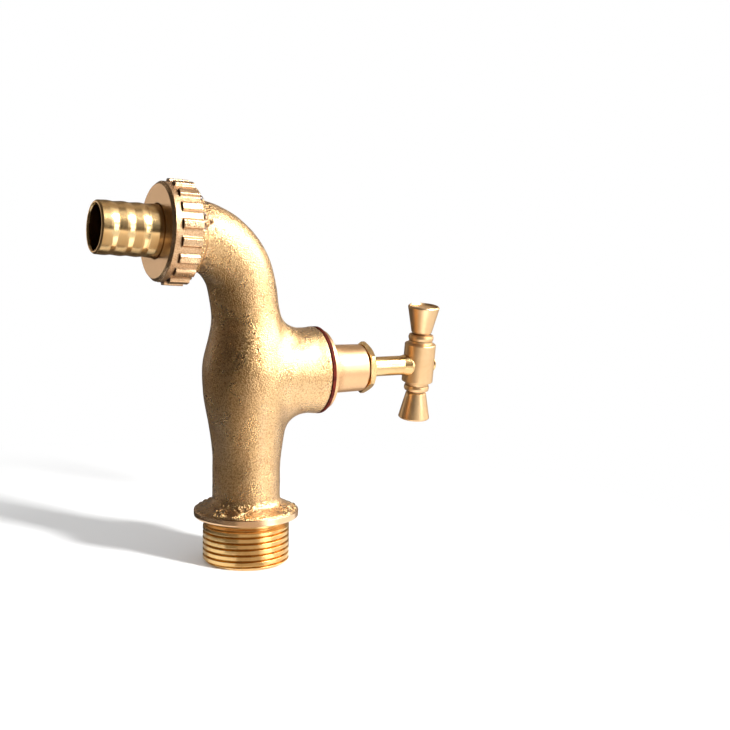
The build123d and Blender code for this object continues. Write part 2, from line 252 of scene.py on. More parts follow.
# %% Dark cards: patches of a sphere round the tap, and sectors on the floor
CARD_ROWS, CARD_COLUMNS = 9, 13
CARD_FAR, CARD_NEAR, FLOOR_CARD_LIFT = 1.1, 0.25, 0.0006


def dark_sheet(name, points, shade):
    """A sheet that metal mirrors and the camera looks past. It takes no plain light from the
    floor. A shade above 1 glows."""
    made, tree = material(name)
    if shade > 1:
        show(tree, add(tree, "Emission", Color=WHITE, Strength=shade))
    else:
        show(tree, add(tree, "BsdfDiffuse", Color=(shade, shade * 0.85, shade * 0.7, 1)))
    sheet = sheet_through(name, points, made)
    sheet.visible_camera = sheet.visible_diffuse = sheet.visible_shadow = False


def card(name, turns, rises, shade, distance=CARD_FAR):
    """A matte card between two turns and two rises (degrees), part of a sphere."""
    points = direction(np.linspace(*turns, CARD_COLUMNS), np.linspace(*rises, CARD_ROWS)[:, None])
    dark_sheet(name, distance * points + np.array(AIM), shade)


def floor_card(name, turns, shade, reach):
    """A matte sector lying just over the floor, between two turns and two distances."""
    points = (np.geomspace(*reach, CARD_ROWS)[:, None, None]
              * direction(np.linspace(*turns, CARD_COLUMNS), 0))
    dark_sheet(name, points + (0, 0, FLOOR_CARD_LIFT), shade)


card("dark_card_left", (-108, 42), (-3, 88), 0.04)
card("grey_card_behind_left", (-134, -108), (-3, 11), 0.62)
card("dark_card_behind_left", (-176, -108), (11, 88), 0.12)
card("dark_card_far_left", (-176, -134), (-3, 11), 0.12)
card("dark_card_top", (36, 184), (74, 89.9), 0.10)
card("dark_card_back", (130, 184), (-3, 75), 0.28)
card("dark_card_low", (36, 112), (-2, 9), 0.14)
card("dark_card_near", (-104, 8), (-14, 20), 0.05, CARD_NEAR)
floor_card("floor_card_behind_left", (-180, -134), 0.10, (0.016, 1.1))
floor_card("floor_card_left", (-108, -12), 0.04, (0.10, 1.1))
floor_card("floor_card_left_near", (-150, -42), 0.04, (0.040, 0.088))
floor_card("floor_card_between", (-42, -12), 0.20, (0.030, 0.098))
floor_card("floor_card_under_nut", (-134, -108), 0.07, (0.10, 0.85))
floor_card("floor_card_front", (-12, 36), 0.44, (0.016, 1.1))
floor_card("floor_glow", (45, 64), 3.0, (0.018, 0.13))
floor_card("floor_card_back", (130, 180), 0.30, (0.016, 1.1))

# %% [markdown]
# ## Node groups: effects that several finishes share
#
# Sand-cast skin, turning marks, handling tarnish: each is one group with a few inputs, so a
# finish is made by placing groups and giving them values. They could be pictures, but a picture
# has edges and one scale, and noise in space covers any shape. A group only puts out numbers
# that change over the surface. The shader itself stays in the material.

# %% Helpers for groups, ramps and blends
def new_group(name, inputs, outputs):
    """An empty shader group with those number inputs (name and default) and outputs, and with
    Place, where the surface lies in metres."""
    tree = bpy.data.node_groups.new(name, "ShaderNodeTree")
    tree.interface.new_socket("Place", in_out="INPUT", socket_type="NodeSocketVector")
    for label, default in inputs.items():
        tree.interface.new_socket(label, in_out="INPUT",
                                  socket_type="NodeSocketFloat").default_value = default
    for label in outputs:
        tree.interface.new_socket(label, in_out="OUTPUT", socket_type="NodeSocketFloat")
    given, out = tree.nodes.new("NodeGroupInput"), tree.nodes.new("NodeGroupOutput")
    return tree, given.outputs, out.inputs


def use(tree, group, **values):
    """Places a group in a material, gives its inputs their values, and returns its outputs."""
    node = tree.nodes.new("ShaderNodeGroup")
    node.node_tree = group
    for key, value in values.items():
        put(tree, value, node.inputs[key.replace("_", " ")])
    return node.outputs


def times(tree, first, second):
    """One number or socket times another."""
    return combine(tree, "MULTIPLY", first, second)


def ramp_between(tree, source, low, high, to_low=0.0, to_high=1.0):
    """A straight rise from to_low to to_high as the source goes from low to high."""
    return add(tree, "MapRange", source, From_Min=low, From_Max=high, To_Min=to_low,
               To_Max=to_high).outputs[0]


def blend_colour(tree, factor, first, second):
    """Two colours, or sockets, mixed by a factor socket or number."""
    node = tree.nodes.new("ShaderNodeMix")
    node.data_type = "RGBA"
    for index, value in ((0, factor), (6, first), (7, second)):
        put(tree, value, node.inputs[index])
    return node.outputs[2]


def scaled(tree, vector, factor):
    """The vector times the factor."""
    return add(tree, "VectorMath", operation="SCALE", Vector=vector, Scale=factor).outputs[0]


def noise(tree, vector, scale, detail, rough=0.55, distortion=0.0):
    """Soft random lumps, about that many in a metre, with finer ones added on top."""
    return add(tree, "TexNoise", Vector=vector, Scale=scale, Detail=detail, Roughness=rough,
               Distortion=distortion).outputs["Fac"]


def cell_distance(tree, vector, scale):
    """How far away the nearest of many strewn points is, about that many in a metre."""
    return add(tree, "TexVoronoi", Vector=vector, Scale=scale, feature="F1").outputs["Distance"]


# %% Sand-cast skin: rounded grains, with pits between them
PEBBLES, FINE_GRAINS, PIT_CELLS, PIT_PATCHES = 2300.0, 4200, 1250.0, 300
FINE_SHARE, PIT_SHARE = 0.45, 0.10


def make_sand_skin():
    """Height = pebbles, high where a cell pattern's distance is small, plus a finer noise, less
    sparse pits where a wider cell pattern's distance is small. Pits and Grain also go out."""
    tree, given, out = new_group("sand_skin", {"Grain Size": 1.0}, ("Height", "Grain", "Pits"))
    place = scaled(tree, given["Place"], combine(tree, "DIVIDE", 1.0, given["Grain Size"]))
    pebbles = ramp_between(tree, cell_distance(tree, place, PEBBLES), 0.85, 0.10)
    fine = noise(tree, place, FINE_GRAINS, 2.0, 0.6)
    deep = ramp_between(tree, cell_distance(tree, place, PIT_CELLS), 0.34, 0.12)
    picked = ramp_between(tree, noise(tree, place, PIT_PATCHES, 1.0), 0.35, 0.90, 0.12, 0.45)
    pits = times(tree, deep, picked)
    height = combine(tree, "ADD", pebbles, times(tree, fine, FINE_SHARE))
    put(tree, combine(tree, "SUBTRACT", height, times(tree, pits, PIT_SHARE)), out["Height"])
    put(tree, pebbles, out["Grain"])
    put(tree, pits, out["Pits"])
    return tree


sand_skin = make_sand_skin()


# %% Turning marks: fine rings left by the tool, and short scratches from handling
SCRATCH_TURN, SCRATCH_STRETCH, SCRATCH_DEPTH = (0.4, 0.7, 0.2), (420, 420, 9000), 0.6


def make_turning_marks():
    """Rings = noise read only along the profile, so it is the same all round. Scratches are a
    stretched noise in space. Both come out as masks, and as one height."""
    tree, given, out = new_group("turning_marks", {"Along": 0.0, "Feed": 0.12},
                                 ("Height", "Rings", "Scratches"))
    steps = combine(tree, "DIVIDE", given["Along"], given["Feed"])
    rings = noise(tree, add(tree, "CombineXYZ", steps).outputs[0], 1.0, 3.0, 0.7)
    stretched = add(tree, "Mapping", given["Place"], Rotation=SCRATCH_TURN,
                    Scale=SCRATCH_STRETCH)
    marks = noise(tree, stretched.outputs[0], 1.0, 2.0, 0.5)
    scratches = ramp_between(tree, marks, 0.70, 0.80)
    put(tree, combine(tree, "SUBTRACT", rings, times(tree, scratches, SCRATCH_DEPTH)),
        out["Height"])
    put(tree, rings, out["Rings"])
    put(tree, scratches, out["Scratches"])
    return tree


turning_marks = make_turning_marks()


# %% Tarnish: slow patches of a redder, darker brass
def make_tarnish():
    """Patches = a broad noise, warped by a second one, between two limits. Size in mm."""
    tree, given, out = new_group("tarnish", {"Size": 8.0}, ("Patches",))
    place = scaled(tree, given["Place"], combine(tree, "DIVIDE", 1000.0, given["Size"]))
    broad = noise(tree, place, 1.0, 3.0, 0.6, distortion=0.8)
    put(tree, ramp_between(tree, broad, 0.35, 0.68), out["Patches"])
    return tree


tarnish = make_tarnish()
print("groups:", [g.name for g in bpy.data.node_groups])

# %% [markdown]
# ## Finishes
#
# Cast brass is rough and golden with brown in its hollows, deepened there by painted shade. Brass
# that was turned keeps fine rings, and brass that was polished keeps almost nothing but what it
# mirrors. One metal with one roughness would look like plastic, so each finish has its own skin.
# Each reads the object's own coordinates, and turned pieces also carry an attribute, along, which
# says how far along the cut profile a point lies.

# %% What the brasses share
def colour(red, green, blue):
    """A colour as it is seen, given in 0-255, changed to the linear values that nodes use."""
    seen_values = np.array([red, green, blue]) / 255
    linear = np.where(seen_values <= 0.04045, seen_values / 12.92,
                      ((seen_values + 0.055) / 1.055) ** 2.4)
    return (*[float(v) for v in linear], 1.0)


def attribute(tree, name):
    """A value stored on the piece's own vertices, 0 where the piece has none."""
    node = add(tree, "Attribute", attribute_type="GEOMETRY", attribute_name=name)
    return node.outputs["Fac"]


def bare_metal(tree, base, roughness, height, depth, **coat):
    """The metal shader with its colour, roughness and a bump of that depth in mm."""
    bump = add(tree, "Bump", Strength=1.0, Distance=depth * MM, Height=height)
    show(tree, add(tree, "BsdfPrincipled", Metallic=1.0, Base_Color=base, Roughness=roughness,
                   Normal=bump.outputs[0], **coat))


def tarnished_roughness(tree, patches, rough):
    """The roughness, a little less in bright patches and a little more in dull ones."""
    return ramp_between(tree, patches, 0, 1, rough - 0.03, rough + 0.05)


# %% Cast brass, for the body, the nut and the hexagon
CAST_PATCH, TARNISH_SHARE, PIT_COLOUR_SHARE = 9.0, 0.14, 0.4
GRIT_LUMPS, GRIT_HEIGHT, CAST_PAINTED_SHADE_SHARE = 1300, 3.0, 0.85
# Colour of the painted shade in the casting's pits and corners, and in the nut's rib corners
CAST_PAINTED_SHADE = colour(70, 42, 24)
COAT = {"Coat_Roughness": 0.3, "Coat_IOR": 1.7}


def cast_brass(name, light, dark, pit, rough, grain_depth, sheen, grain_size=1.0, worn=False):
    """Metal whose colour goes from dark to light with the grain, and toward pit in the pits.
    The shade attribute browns it as painted shade in pits and corners, gritty adds coarser lumps
    of sand, and sheen is the weight of a soft coat. Where worn is on, the attribute polish smooths
    and lightens what is touched."""
    made, tree = material(name)
    place = add(tree, "TexCoord").outputs["Object"]
    sand = use(tree, sand_skin, Place=place, Grain_Size=grain_size)
    patches = use(tree, tarnish, Place=place, Size=CAST_PATCH)["Patches"]
    tone = ramp_between(tree, sand["Grain"], 0.0, 1.0, 0.15, 1.0)
    tone = combine(tree, "SUBTRACT", tone, times(tree, patches, TARNISH_SHARE))
    base = blend_colour(tree, tone, dark, light)
    base = blend_colour(tree, times(tree, sand["Pits"], PIT_COLOUR_SHARE), base, pit)
    # Painted shade: browns the base where the shade attribute is set
    base = blend_colour(tree, times(tree, attribute(tree, "painted_shade"), CAST_PAINTED_SHADE_SHARE), base,
                        CAST_PAINTED_SHADE)
    roughness = tarnished_roughness(tree, patches, rough)
    grit = ramp_between(tree, noise(tree, place, GRIT_LUMPS, 1.0), 0.42, 0.66)
    grit = times(tree, grit, attribute(tree, "gritty"))
    height = combine(tree, "ADD", sand["Height"], times(tree, grit, GRIT_HEIGHT))
    if worn:
        polish = attribute(tree, "polish")
        base = blend_colour(tree, times(tree, polish, 0.7), base, light)
        roughness = combine(tree, "SUBTRACT", roughness, times(tree, polish, 0.16))
        height = times(tree, height, ramp_between(tree, polish, 0, 1, 1.0, 0.35))
    bare_metal(tree, base, roughness, height, grain_depth, Coat_Weight=sheen, **COAT)
    return made


body_brass = cast_brass("cast_brass", colour(252, 214, 154), colour(190, 138, 80),
                        colour(100, 68, 38), 0.28, 0.12, 0.75)
nut_brass = cast_brass("nut_brass", colour(242, 206, 162), colour(196, 148, 104),
                       colour(110, 66, 38), 0.36, 0.045, 0.25, 0.8, worn=True)
bonnet_brass = cast_brass("bonnet_brass", colour(240, 196, 146), colour(200, 150, 106),
                          colour(130, 86, 54), 0.47, 0.045, 0.15, 0.75, worn=True)
print("cast finishes:", [made.name for made in (body_brass, nut_brass, bonnet_brass)])

# %% Turned and polished brass
TURNED_PATCH, RING_SHARE, TURNED_PAINTED_SHADE_SHARE = 11.0, 0.35, 0.9
# Rosy tint, and the colour of the painted shade in the handle's grooves
ROSY, TURNED_PAINTED_SHADE = colour(240, 200, 158), colour(92, 58, 34)


def turned_brass(name, light, dark, rough, ring_depth, feed, scratch=0.5, own_profile=True):
    """Metal with rings of the tool. The attribute rosy reddens it, and the shade attribute browns
    it as painted shade. Where the piece has no profile of its own, as on a plain solid, the rings
    read one coordinate of the object instead."""
    made, tree = material(name)
    place = add(tree, "TexCoord").outputs["Object"]
    if own_profile:
        along = attribute(tree, "along")
    else:
        along = times(tree, add(tree, "SeparateXYZ", place).outputs["X"], 1000.0)
    marks = use(tree, turning_marks, Place=place, Feed=feed, Along=along)
    patches = use(tree, tarnish, Place=place, Size=TURNED_PATCH)["Patches"]
    tone = combine(tree, "ADD", times(tree, marks["Rings"], RING_SHARE),
                   times(tree, patches, 1 - RING_SHARE))
    base = blend_colour(tree, tone, light, dark)
    base = blend_colour(tree, attribute(tree, "rosy"), base, ROSY)
    # Painted shade: browns the base where the shade attribute is set
    base = blend_colour(tree, times(tree, attribute(tree, "painted_shade"), TURNED_PAINTED_SHADE_SHARE), base,
                        TURNED_PAINTED_SHADE)
    roughness = combine(tree, "ADD", tarnished_roughness(tree, patches, rough),
                        times(tree, marks["Scratches"], scratch * 0.2))
    bare_metal(tree, base, roughness, marks["Height"], ring_depth)
    return made


thread_brass = turned_brass("thread_brass", colour(240, 202, 138), colour(206, 162, 98), 0.22,
                            0.006, 0.10)
polished_brass = turned_brass("polished_brass", colour(246, 214, 158), colour(226, 182, 122),
                              0.20, 0.006, 0.09, 0.2)
handle_brass = turned_brass("handle_brass", colour(250, 214, 166), colour(234, 192, 140), 0.36,
                            0.020, 0.12)
inner_brass = turned_brass("turned_brass", colour(236, 196, 126), colour(196, 146, 82), 0.28,
                           0.008, 0.12, own_profile=False)


# %% Red fibre, rubber and graphite packing
def soft_seal(name, light, dark, rough, fibre_size, depth):
    """Matte material with fibres, which are a noise four times as long one way: it mottles the
    colour and lifts the surface. Fibre size and depth in mm."""
    made, tree = material(name)
    place = add(tree, "TexCoord").outputs["Object"]
    fine = 1000 / fibre_size
    stretched = add(tree, "Mapping", place, Rotation=(0.3, 0.5, 0.9),
                    Scale=(fine, fine, fine / 4))
    fibres = noise(tree, stretched.outputs[0], 1.0, 3.0, 0.65)
    bump = add(tree, "Bump", Strength=0.8, Distance=depth * MM, Height=fibres)
    show(tree, add(tree, "BsdfPrincipled", Metallic=0.0, Specular_IOR_Level=0.15,
                   Base_Color=blend_colour(tree, ramp_between(tree, fibres, 0.35, 0.7), dark,
                                           light),
                   Roughness=ramp_between(tree, fibres, 0.3, 0.7, rough + 0.08, rough - 0.08),
                   Normal=bump.outputs[0]))
    return made


red_fibre = soft_seal("red_fibre", colour(98, 25, 11), colour(44, 10, 5), 0.6, 0.5, 0.05)
rubber = soft_seal("rubber", colour(42, 40, 38), colour(20, 19, 18), 0.6, 0.3, 0.02)
packing = soft_seal("packing", colour(92, 88, 80), colour(40, 38, 35), 0.7, 0.6, 0.06)
print("finishes:", sorted(m.name for m in bpy.data.materials))

# %% [markdown]
# ## Turned surfaces
#
# Most of a tap is made on a lathe, and a lathe is easy to copy in numbers: a half outline is
# carried round an axis. The surface is a grid, one way along the outline and the other way round
# the axis. Where a piece isn't round, as on a hexagon, a rib or a screw thread, the radius is
# also a function of the angle. Each outline is a closed loop, so the mesh is closed by itself.

# %% Axes of the tap, in mm
VALVE_HEIGHT = 58.14
OUTLET_SEAT = (-24.0, 0.0, 100.6)
OUTLET_TILT = math.radians(3.75)
HANDLE_REACH, HANDLE_OFFSET, HANDLE_TURN = 60.4, 0.7, math.radians(7.1)


class Line:
    """An axis: a point on it, its direction, and two directions square to it."""

    def __init__(self, origin, along, side):
        self.origin = np.array(origin, float)
        self.along = np.array(along, float)
        self.side = np.array(side, float)
        self.third = np.cross(self.along, self.side)

    def place(self, station, radius, angle):
        """Points at a station along, a radius and an angle, given as arrays of one shape."""
        return (self.origin + station[..., None] * self.along
                + (radius * np.cos(angle))[..., None] * self.side
                + (radius * np.sin(angle))[..., None] * self.third)


inlet_line = Line((0, 0, 0), (0, 0, 1), (1, 0, 0))
valve_line = Line((0, 0, VALVE_HEIGHT), (1, 0, 0), (0, 1, 0))
outlet_line = Line(OUTLET_SEAT, (-math.cos(OUTLET_TILT), 0, math.sin(OUTLET_TILT)), (0, 1, 0))
bar_along = np.array([0, -math.sin(HANDLE_TURN), math.cos(HANDLE_TURN)])
bar_line = Line(np.array([HANDLE_REACH, 0, VALVE_HEIGHT]) + HANDLE_OFFSET * bar_along,
                bar_along, (1, 0, 0))
print("valve axis", VALVE_HEIGHT, "mm up, outlet rises by",
      round(math.degrees(OUTLET_TILT), 2), "degrees")


# %% Round the corners of an outline
def rounded(corners, steps=4):
    """Each corner (station, radius, rounding) of a closed outline becomes a short arc that
    touches both its sides, and every side keeps a point near each of its ends."""
    corners = np.array(corners, float)
    points, result = corners[:, :2], []
    for here, size, before, after in zip(points, corners[:, 2], np.roll(points, 1, 0),
                                         np.roll(points, -1, 0)):
        back, ahead = before - here, after - here
        long_back, long_ahead = np.linalg.norm(back), np.linalg.norm(ahead)
        back, ahead = back / long_back, ahead / long_ahead
        half = math.acos(np.clip(back @ ahead, -1, 1)) / 2
        if size <= 0 or half > 1.55 or here[1] <= 0:
            result.append(here)
            continue
        reach = min(size / math.tan(half), 0.42 * long_back, 0.42 * long_ahead)
        start, end = here + back * reach, here + ahead * reach
        share = np.linspace(0, 1, steps + 1)[:, None]
        arc = (1 - share) ** 2 * start + 2 * share * (1 - share) * here + share ** 2 * end
        hold = min(0.3 * reach, 0.05)
        result += [here + back * (reach + hold), *arc, here + ahead * (reach + hold)]
    return np.array(result)


# %% A closed mesh from a grid of points
def store(data, label, field):
    """Keeps a number for each vertex as an attribute, which the finishes can read."""
    values = np.asarray(field, np.float32).ravel()
    data.attributes.new(label, "FLOAT", "POINT").data.foreach_set("value", values)


def skin(name, points, fields):
    """points[i, j]: i goes along the outline, j round the axis. Both ways the grid closes on
    itself. Points that fall together, as on the axis, are merged, and faces turned outwards.
    Each field becomes an attribute of the points."""
    number = np.arange(points.shape[0] * points.shape[1]).reshape(points.shape[:2])
    below = np.roll(number, -1, 0)
    faces = np.stack([number, below, np.roll(below, -1, 1), np.roll(number, -1, 1)], -1)
    data = bpy.data.meshes.new(name)
    data.vertices.add(number.size)
    data.vertices.foreach_set("co", (points.reshape(-1, 3) * MM).astype(np.float32).ravel())
    data.loops.add(faces.size)
    data.loops.foreach_set("vertex_index", faces.astype(np.int32).ravel())
    data.polygons.add(number.size)
    data.polygons.foreach_set("loop_start", np.arange(0, faces.size, 4, dtype=np.int32))
    data.update(calc_edges=True)
    for label, field in fields.items():
        store(data, label, np.broadcast_to(field, number.shape))
    work = bmesh.new()
    work.from_mesh(data)
    bmesh.ops.remove_doubles(work, verts=work.verts, dist=2e-7)
    loose = [edge for edge in work.edges if not edge.link_faces]
    bmesh.ops.delete(work, geom=loose, context="EDGES")
    bmesh.ops.recalc_face_normals(work, faces=work.faces)
    if work.calc_volume(signed=True) < 0:
        bmesh.ops.reverse_faces(work, faces=work.faces)
    volume = work.calc_volume(signed=True) / MM ** 3
    open_edges = sum(1 for edge in work.edges if not edge.is_manifold)
    print(f"{name}: {volume:.0f} cubic mm, {open_edges} open edges")
    work.to_mesh(data)
    work.free()
    data.shade_smooth()
    return placed(name, data)


def length_along(outline):
    """How far along the outline each point lies, in mm."""
    steps = np.linalg.norm(np.diff(outline, axis=0), axis=1)
    return np.concatenate([[0], np.cumsum(steps)])


def turn_round(name, outline, line, radius_at=None, columns=160, extra=None, angles=None):
    """Carries the outline round the line, in even columns or at the angles given.
    radius_at(station, radius, angle) may change the radius with the angle. Each function in
    extra gives an attribute from the same three."""
    if angles is None:
        angles = np.linspace(0, 2 * math.pi, columns, endpoint=False)
    station = np.repeat(outline[:, :1], len(angles), 1)
    radius = np.repeat(outline[:, 1:2], len(angles), 1)
    angle = np.broadcast_to(angles, station.shape)
    if radius_at:
        radius = radius_at(station, radius, angle)
    fields = {"along": length_along(outline)[:, None]}
    fields.update((key, value(station, radius, angle)) for key, value in (extra or {}).items())
    return skin(name, line.place(station, radius, angle), fields)


def dress(piece, finish, body, slot, *replaced):
    """Gives a piece its finish and body, and hides the solids it stands for. The slot is not used.
    """
    piece.data.materials.clear()
    piece.data.materials.append(finish)
    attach(piece, body)
    if replaced:
        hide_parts(*replaced)
    faces = sum(len(p.vertices) - 2 for p in piece.data.polygons)
    print(f"{piece.name}: {faces} triangles, on {body}")


# %% Smooth random lumps in space
def lumps(points, size, seed):
    """A random number at each corner of a cubic lattice, blended inside each cube by eased
    shares of the three distances. Points and size in mm. The result lies between -1 and 1."""
    table = np.random.default_rng(seed).random((32, 32, 32)) * 2 - 1
    cells = points / size + 200.0
    corner = np.floor(cells).astype(int)
    share = cells - corner
    share = share * share * (3 - 2 * share)
    total = np.zeros(points.shape[:-1])
    for offset in np.ndindex(2, 2, 2):
        weight = np.ones(points.shape[:-1])
        for axis, step in enumerate(offset):
            weight = weight * (share[..., axis] if step else 1 - share[..., axis])
        index = (corner + np.array(offset)) % 32
        total += weight * table[index[..., 0], index[..., 1], index[..., 2]]
    return total


# %% [markdown]
# ## The threaded inlet
#
# A pipe thread is one ridge wound round the spigot. Its radius depends on both the height and
# the angle: going once round climbs one pitch. A ridge could also be swept along a helix, but
# its two ends would stand out of the surface, while a radius in numbers fades out by itself.
# Above it a groove is left for the tool to run out, and then comes the rim of the flange.

# %% The inlet spigot and the flange's rim
THREAD_RADIUS, THREAD_PITCH, THREAD_LENGTH = 13.2205, 1.814, 12.4
THREAD_DEPTH, CREST_SHARE, ROOT_SHARE = 0.52 * THREAD_PITCH, 0.58, 0.94
RELIEF_RADIUS, FLANGE_BOTTOM, FLANGE_TOP, FLANGE_RADIUS = 11.8, 14.2, 16.4, 15.99
INLET_BORE, RIM_EDGE, UNDER_CAST = 7.8, 15.35, 15.6
BEVEL_CUT, BEVEL_SLOPE, RUN_OUT, RUN_OUT_SLOPE, THREAD_ROWS = 1.25, 1.1, 0.35, 1.2, 190


def share_between(value, low, high):
    """0 at low and 1 at high, straight between them and level beyond. Low may be the larger."""
    return np.clip((value - low) / (high - low), 0, 1)


def ridge(phase):
    """Height of the ridge from 0 in the root to 1 at the crest, over one pitch: a crest cut
    nearly flat, as the die left it, and a groove with eased flanks between."""
    away = np.abs(2 * (phase % 1) - 1)
    flank = share_between(away, CREST_SHARE, ROOT_SHARE)
    eased = 0.5 - 0.5 * np.cos(math.pi * flank)
    return 1 - (flank + eased) / 2


def thread_radius_at(station, radius, angle):
    """Crest radius less the depth where the ridge is low, cut back by a bevel at the mouth and
    by the flank that runs down into the groove."""
    cut = THREAD_DEPTH * (1 - ridge(station / THREAD_PITCH - angle / (2 * math.pi)))
    bevel = THREAD_RADIUS - BEVEL_CUT + BEVEL_SLOPE * np.maximum(station, 0)
    before_end = np.maximum(THREAD_LENGTH + RUN_OUT - station, 0)
    flank = RELIEF_RADIUS + RUN_OUT_SLOPE * before_end
    threaded = np.minimum(np.minimum(radius - cut, bevel), flank)
    on_thread = (radius > RELIEF_RADIUS + 0.5) & (station < THREAD_LENGTH + 0.3)
    return np.where(on_thread, threaded, radius)


thread_rows = np.linspace(0.0, THREAD_LENGTH + 0.25, THREAD_ROWS)
lower = rounded([(0.9, INLET_BORE, 0.1), (0, INLET_BORE + 1.0, 0.1),
                 (0, THREAD_RADIUS - 1.3, 0), (3, THREAD_RADIUS, 0)])[:-1]
upper = rounded([(THREAD_LENGTH, THREAD_RADIUS, 0), (THREAD_LENGTH + RUN_OUT, RELIEF_RADIUS, 0.15),
                 (FLANGE_BOTTOM, RELIEF_RADIUS, 0.35), (FLANGE_BOTTOM, FLANGE_RADIUS, 0.75),
                 (FLANGE_TOP, FLANGE_RADIUS, 0.30), (FLANGE_TOP, RIM_EDGE, 0.1),
                 (UNDER_CAST, RIM_EDGE - 0.15, 0), (UNDER_CAST, INLET_BORE, 0)])[1:]
threaded = np.column_stack([thread_rows, np.full(THREAD_ROWS, THREAD_RADIUS)])
inlet_outline = np.vstack([lower, threaded, upper])
inlet_end = turn_round("inlet_spigot", inlet_outline, inlet_line, thread_radius_at, 220,
                       {"rosy": lambda station, radius, angle: share_between(station, 13.2, 14.2)})
dress(inlet_end, thread_brass, "tap_body", "cast_brass", "body_casting")

# %% [markdown]
# ## The casting
#
# The cast body is one skin that swells, leans, bends and flows into the boss. No single grid
# covers such a branch without a pinch, so this piece is made another way: the solid's own
# surface is remeshed into small even squares, which can carry the unevenness of a sand mould.
# Its grains, the raised parting line and the slow waviness are then pushed out in numbers.

# %% Remesh the solid of the casting
CAST_CELL, CAST_CUT, BOSS_FACE = 0.47, 15.9, 22.4


def merged_copy(node, name):
    """The node's mesh as a new piece, with the vertices that fall together merged."""
    data = nodes[node].data.copy()
    data.materials.clear()
    work = bmesh.new()
    work.from_mesh(data)
    bmesh.ops.remove_doubles(work, verts=work.verts, dist=1e-6)
    work.to_mesh(data)
    work.free()
    return placed(name, data)


def remesh_evenly(piece, cell):
    """Even cells of that size in mm, over the piece's closed surface."""
    remesh = piece.modifiers.new("even_cells", "REMESH")
    remesh.mode = "VOXEL"
    remesh.voxel_size = cell * MM
    remesh.adaptivity = 0
    evaluated = piece.evaluated_get(bpy.context.evaluated_depsgraph_get())
    data = bpy.data.meshes.new_from_object(evaluated)
    piece.modifiers.clear()
    old, piece.data = piece.data, data
    bpy.data.meshes.remove(old)


def keep_above(piece, height):
    """Cuts the mesh level at that height, keeps what lies above, and closes the ring-shaped
    cut with a band of faces between its outer and inner edge."""
    work = bmesh.new()
    work.from_mesh(piece.data)
    everything = work.verts[:] + work.edges[:] + work.faces[:]
    cut = bmesh.ops.bisect_plane(work, geom=everything, plane_co=(0, 0, height * MM),
                                 plane_no=(0, 0, 1), clear_inner=True)
    edges = [e for e in cut["geom_cut"] if isinstance(e, bmesh.types.BMEdge)]
    bmesh.ops.bridge_loops(work, edges=edges)
    bmesh.ops.recalc_face_normals(work, faces=work.faces)
    open_edges = sum(1 for e in work.edges if not e.is_manifold)
    work.to_mesh(piece.data)
    work.free()
    print("edges still open after the cut:", open_edges)


casting = merged_copy("body_casting", "casting")
remesh_evenly(casting, CAST_CELL)
keep_above(casting, CAST_CUT)
print("casting cells:", len(casting.data.polygons))

# %% Take the wrinkles of the remeshing out again
EVEN_ROUNDS, STEP_IN, STEP_OUT = 6, 0.6, -0.62


def rows(collection, field):
    """That field of each vertex or normal, as one row of three numbers each."""
    found = np.empty(len(collection) * 3, np.float32)
    collection.foreach_get(field, found)
    return found.reshape(-1, 3).astype(float)


def write_points(data, place):
    """Puts places, in mm, back on the vertices."""
    data.vertices.foreach_set("co", (place * MM).astype(np.float32).ravel())
    data.update()


def beyond_outlet(place):
    """How far out along the outlet's line each place lies, in mm, from the union's seat."""
    return (place - outlet_line.origin) @ outlet_line.along


def even_out(data):
    """Each point moves toward the mean of its neighbours, then out again by a little more, so
    wrinkles go and the size stays. Machined ends keep their edges."""
    place = rows(data.vertices, "co") / MM
    ends = np.empty(len(data.edges) * 2, np.int32)
    data.edges.foreach_get("vertices", ends)
    first, second = ends.reshape(-1, 2).T
    count = np.bincount(np.concatenate([first, second]), minlength=len(place))[:, None]
    free = (share_between(place[:, 0], BOSS_FACE - 1.2, BOSS_FACE - 1.8)
            * share_between(beyond_outlet(place), -4.6, -5.2)
            * share_between(place[:, 2], 17.2, 17.8))[:, None]
    for step in (STEP_IN, STEP_OUT) * EVEN_ROUNDS:
        total = [np.bincount(first, place[second, axis], len(place))
                 + np.bincount(second, place[first, axis], len(place)) for axis in range(3)]
        place = place + step * free * (np.stack(total, -1) / count - place)
    write_points(data, place)


even_out(casting.data)
print("points evened:", len(casting.data.vertices), "in", EVEN_ROUNDS, "rounds")

# %% Sand, waviness and the parting line
PARTING_HEIGHT, PARTING_WIDTH = 0.16, 0.55
CRUMB_SIZE, CRUMB_SEED = 1.25, 17
RIM_SUNK, FLANGE_RAISED, RIM_ROOM = 0.15, 0.12, 0.3


def cast_zones(place, wide):
    """Shares from 0 to 1: as cast and not machined, on the flange, on the flange's rim, near a
    corner that holds crumbs (on the flange and behind the nut), and pocked (over the bend)."""
    out = beyond_outlet(place)
    across, height = place[:, 0], place[:, 2]
    cast = (share_between(across, BOSS_FACE - 0.5, BOSS_FACE - 0.9)
            * share_between(out, -3.9, -4.3)
            * share_between(height, FLANGE_TOP - 0.25, FLANGE_TOP - 0.10))
    on_flange = share_between(height, 18.5, 17.5)
    rim = on_flange * share_between(wide, 15.1, 15.5)
    corner = np.maximum(share_between(height, 20.5, 18.0), share_between(out, -10.5, -7.5))
    pocked = share_between(out, -13.0, -9.0) * share_between(height, 95, 103)
    return cast, on_flange, rim, corner, pocked


